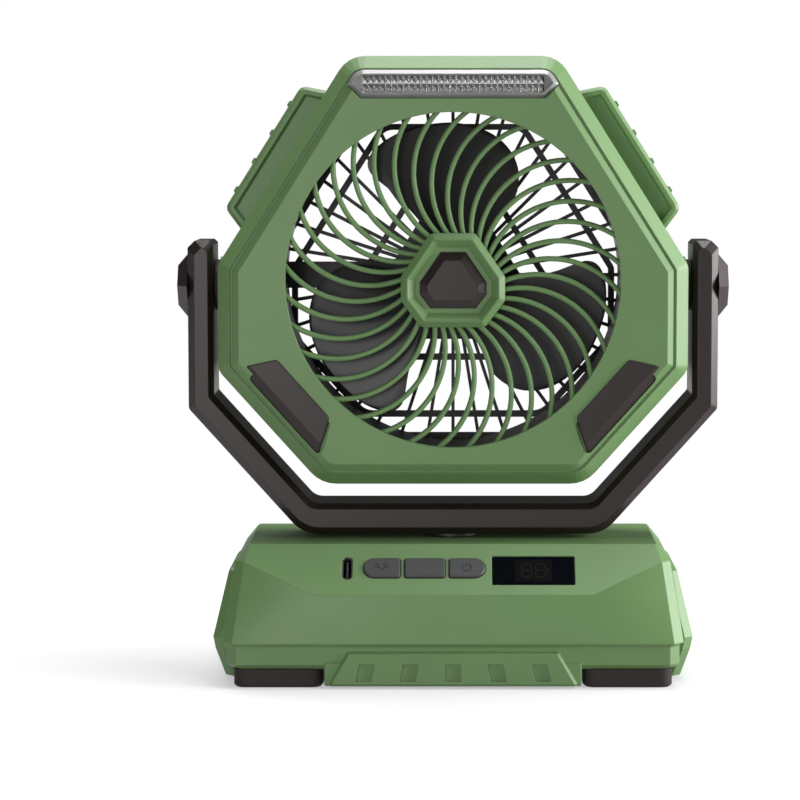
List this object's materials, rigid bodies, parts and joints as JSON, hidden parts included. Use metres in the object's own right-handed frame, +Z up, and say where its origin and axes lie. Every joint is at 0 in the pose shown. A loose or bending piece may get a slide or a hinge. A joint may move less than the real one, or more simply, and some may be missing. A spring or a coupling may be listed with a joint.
{
  "type": "portable camping fan",
  "caption": "Faceted table fan with a light bar, guarded blades, a tilting head, a swivelling yoke and a wide battery base with keys and a display.",
  "frame": {"origin": "on the ground, under the middle of the object", "axes": "+Z up, the front of the fan faces -Y, +X to the viewer's right when facing the front"},
  "size_m": [0.195, 0.084, 0.218],
  "materials": {
    "green_plastic": "satin",
    "yoke_plastic": "satin",
    "black_plastic": "satin",
    "black_rubber": "matte",
    "button_plastic": "satin",
    "clear_plastic": "gloss",
    "display_glass": "gloss",
    "steel": "satin",
    "circuit_board": "satin",
    "gear_plastic": "satin",
    "inner_plastic": "matte",
    "cell_wrap": "gloss"
  },
  "bodies": {
    "base": {"base_upper_shell": "green_plastic", "base_lower_shell": "green_plastic", "end_plate_left": "green_plastic", "end_plate_right": "green_plastic", "foot_left": "black_rubber", "foot_right": "black_rubber", "button_switches": "inner_plastic", "display_window": "display_glass", "display_module": "inner_plastic", "usb_socket": "steel", "control_board": "circuit_board", "battery_holder": "inner_plastic", "battery_cells": "cell_wrap", "base_screws": "steel", "swivel_bush": "steel", "swivel_motor": "steel"},
    "yoke": {"yoke": "yoke_plastic", "pivot_cap_left": "yoke_plastic", "pivot_cap_right": "yoke_plastic", "swivel_post": "black_plastic", "swivel_gear": "gear_plastic"},
    "pinion": {"swivel_pinion": "gear_plastic"},
    "head": {"front_shell": "green_plastic", "front_grille": "green_plastic", "hub_boss": "green_plastic", "hub_cap": "black_plastic", "lamp_lens": "clear_plastic", "lamp_board": "circuit_board", "corner_pad_left": "black_plastic", "corner_pad_right": "black_plastic", "rear_shell": "green_plastic", "rear_guard": "black_plastic", "fan_duct": "black_plastic", "fan_motor": "steel", "motor_bearing": "steel", "head_screws": "steel", "pivot_pin_left": "steel", "pivot_pin_right": "steel", "tilt_washer_left": "black_rubber", "tilt_washer_right": "black_rubber"},
    "rotor": {"motor_shaft": "steel", "impeller": "black_plastic"},
    "light_key": {"button_light": "button_plastic"},
    "mode_key": {"button_mode": "button_plastic"},
    "power_key": {"button_power": "button_plastic"}
  },
  "joints": [
    {"name": "yoke_swivel", "type": "hinge", "parent": "base", "child": "yoke", "pos_m": [0, 0, 0.048], "axis": [0, 0, 1], "range_deg": [-45, 45]},
    {"name": "pinion_spin", "type": "hinge", "parent": "base", "child": "pinion", "pos_m": [0.024, 0, 0.033], "axis": [0, 0, 1], "range_deg": [-135, 135]},
    {"name": "head_tilt", "type": "hinge", "parent": "yoke", "child": "head", "pos_m": [0, 0, 0.1375], "axis": [1, 0, 0], "range_deg": [-90, 90]},
    {"name": "fan_spin", "type": "hinge", "parent": "head", "child": "rotor", "pos_m": [0, 0, 0.14], "axis": [0, 1, 0], "continuous": true},
    {"name": "light_press", "type": "slide", "parent": "base", "child": "light_key", "axis": [0, 0.7186, -0.6954], "range_m": [0, 0.0006], "stiffness_N_per_m": 400, "springref_m": -0.002},
    {"name": "mode_press", "type": "slide", "parent": "base", "child": "mode_key", "axis": [0, 0.7186, -0.6954], "range_m": [0, 0.0006], "stiffness_N_per_m": 400, "springref_m": -0.002},
    {"name": "power_press", "type": "slide", "parent": "base", "child": "power_key", "axis": [0, 0.7186, -0.6954], "range_m": [0, 0.0006], "stiffness_N_per_m": 400, "springref_m": -0.002}
  ],
  "couplings": [
    {"joint": "pinion_spin", "follows": "yoke_swivel", "ratio": -3}
  ]
}
